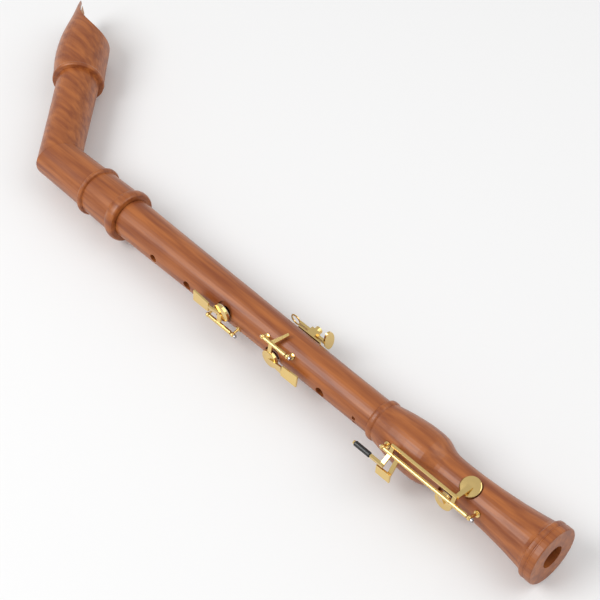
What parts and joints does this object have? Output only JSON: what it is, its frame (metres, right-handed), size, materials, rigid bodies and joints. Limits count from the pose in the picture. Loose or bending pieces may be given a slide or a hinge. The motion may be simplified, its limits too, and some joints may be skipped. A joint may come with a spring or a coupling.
{
  "type": "bent-neck tenor recorder",
  "caption": "Bent-neck tenor recorder in stained wood with brass keys, a sliding thumb rest and a strap ring.",
  "frame": {"origin": "centre of the bounding box's underside, the instrument lying on its right side", "axes": "+X along the body towards the bell, -Y towards the finger holes, +Z the player's left, up at rest"},
  "size_m": [0.6168, 0.1512, 0.042],
  "materials": {
    "stained_wood": "satin, reddish brown",
    "block_wood": "plain",
    "cork": "matt cork",
    "brass": "polished",
    "steel": "bright",
    "pad": "matt",
    "black": "gloss black"
  },
  "bodies": {
    "middle": {"middle_joint": "stained_wood", "lower_tenon_cork": "cork", "upper_tenon_cork": "cork", "third_hinge_rod": "steel", "third_post_low": "brass", "third_post_high": "brass", "fourth_hinge_rod": "steel", "fourth_post_low": "brass", "fourth_post_high": "brass", "rest_plate": "brass", "rest_screw_low": "steel", "rest_screw_high": "steel"},
    "foot": {"foot_joint": "stained_wood", "foot_hinge_rod": "steel", "foot_post_low": "brass", "foot_post_high": "brass"},
    "head": {"head_elbow": "stained_wood", "head_upper": "stained_wood", "windway_block": "block_wood"},
    "third_touch": {"third_key": "brass", "third_pad": "pad"},
    "fourth_touch": {"fourth_key": "brass", "fourth_pad": "pad"},
    "inner_foot_touch": {"c_natural_key": "brass", "c_natural_pad": "pad"},
    "outer_foot_touch": {"c_sharp_key": "brass", "c_sharp_pad": "pad"},
    "roller": {"c_sharp_roller": "black"},
    "rest_bar": {"rest_slide": "brass"},
    "clamp": {"clamp_screw": "brass"}
  },
  "joints": [
    {"name": "foot_twist", "type": "hinge", "parent": "middle", "child": "foot", "pos_m": [0.17644, -0.04536, 0.021], "axis": [-1, 0, 0], "continuous": true},
    {"name": "head_pull", "type": "slide", "parent": "middle", "child": "head", "axis": [-1, 0, 0], "range_m": [0, 0.026]},
    {"name": "third_key_hinge", "type": "hinge", "parent": "middle", "child": "third_touch", "pos_m": [0.02744, -0.06442, 0.01798], "axis": [-1, 0, 0], "range_deg": [0, 15], "stiffness_Nm_per_rad": 0.02},
    {"name": "fourth_key_hinge", "type": "hinge", "parent": "middle", "child": "fourth_touch", "pos_m": [0.07944, -0.05865, 0.03429], "axis": [-1, 0, 0], "range_deg": [-10, 0], "stiffness_Nm_per_rad": 0.02},
    {"name": "inner_foot_key_hinge", "type": "hinge", "parent": "foot", "child": "inner_foot_touch", "pos_m": [0.21844, -0.06464, 0.032], "axis": [-1, 0, 0], "range_deg": [-12, 0], "stiffness_Nm_per_rad": 0.02},
    {"name": "outer_foot_key_hinge", "type": "hinge", "parent": "foot", "child": "outer_foot_touch", "pos_m": [0.21844, -0.06464, 0.032], "axis": [-1, 0, 0], "range_deg": [-12, 0], "stiffness_Nm_per_rad": 0.02},
    {"name": "roller_spin", "type": "hinge", "parent": "outer_foot_touch", "child": "roller", "pos_m": [0.17544, -0.07266, 0.0282], "axis": [-1, 0, 0], "continuous": true},
    {"name": "rest_bar_slide", "type": "slide", "parent": "middle", "child": "rest_bar", "axis": [-1, 0, 0], "range_m": [-0.006, 0.006]},
    {"name": "clamp_screw_turn", "type": "hinge", "parent": "middle", "child": "clamp", "pos_m": [0.08244, -0.02536, 0.021], "axis": [0, 1, 0], "continuous": true}
  ]
}
